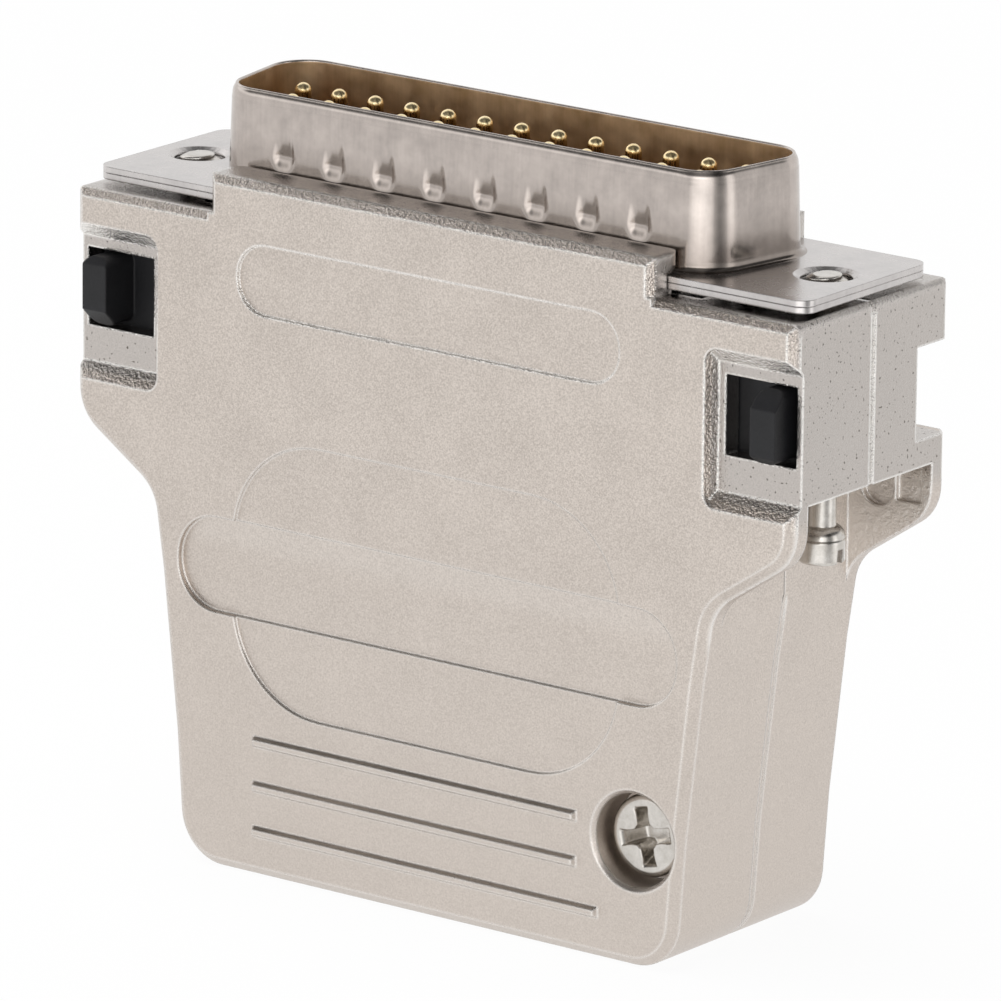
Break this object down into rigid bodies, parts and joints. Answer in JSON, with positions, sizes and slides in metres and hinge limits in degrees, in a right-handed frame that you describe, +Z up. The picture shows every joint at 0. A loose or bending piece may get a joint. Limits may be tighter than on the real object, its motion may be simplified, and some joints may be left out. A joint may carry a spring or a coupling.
{
  "type": "d-sub cable plug",
  "caption": "Male D-sub cable plug in a two-part die-cast metal hood, with captive jackscrews and black finger slides in its ears, and a cable inlet in its foot.",
  "frame": {"origin": "on the foot's underside, at the middle of the hood, on the plane where the two castings meet", "axes": "+X along the connector's rows, +Y towards the rear casting and the row of thirteen pins, +Z up, the way the pins point and the plug is pushed in"},
  "size_m": [0.054, 0.0165, 0.0481],
  "materials": {
    "hood": "satin nickel plate over a zinc die casting, fine cast grain",
    "shell": "smooth nickel-plated drawn steel sheet",
    "insulator": "moulded glass-filled plastic, warm brown",
    "contact": "gold-plated turned brass",
    "screw": "bright nickel-plated steel",
    "slide": "moulded black plastic, fine matt grain"
  },
  "bodies": {
    "hood": {"front_hood_half": "hood", "rear_hood_half": "hood", "front_shell": "shell", "rear_shell": "shell", "front_insulator": "insulator", "rear_insulator": "insulator", "front_cover_screw": "screw", "rear_cover_screw": "screw", "pin_01": "contact", "pin_02": "contact", "pin_03": "contact", "pin_04": "contact", "pin_05": "contact", "pin_06": "contact", "pin_07": "contact", "pin_08": "contact", "pin_09": "contact", "pin_10": "contact", "pin_11": "contact", "pin_12": "contact", "pin_13": "contact", "pin_14": "contact", "pin_15": "contact", "pin_16": "contact", "pin_17": "contact", "pin_18": "contact", "pin_19": "contact", "pin_20": "contact", "pin_21": "contact", "pin_22": "contact", "pin_23": "contact", "pin_24": "contact", "pin_25": "contact"},
    "left_slide": {"left_slide": "slide"},
    "right_slide": {"right_slide": "slide"},
    "left_jackscrew": {"left_jackscrew": "screw"},
    "right_jackscrew": {"right_jackscrew": "screw"}
  },
  "joints": [
    {"name": "left_slide_travel", "type": "slide", "parent": "hood", "child": "left_slide", "axis": [1, 0, 0], "range_m": [0, 0.0024]},
    {"name": "right_slide_travel", "type": "slide", "parent": "hood", "child": "right_slide", "axis": [-1, 0, 0], "range_m": [0, 0.0024]},
    {"name": "left_jackscrew_travel", "type": "slide", "parent": "hood", "child": "left_jackscrew", "axis": [0, 0, 1], "range_m": [0, 0.0029]},
    {"name": "right_jackscrew_travel", "type": "slide", "parent": "hood", "child": "right_jackscrew", "axis": [0, 0, 1], "range_m": [0, 0.0029]}
  ]
}
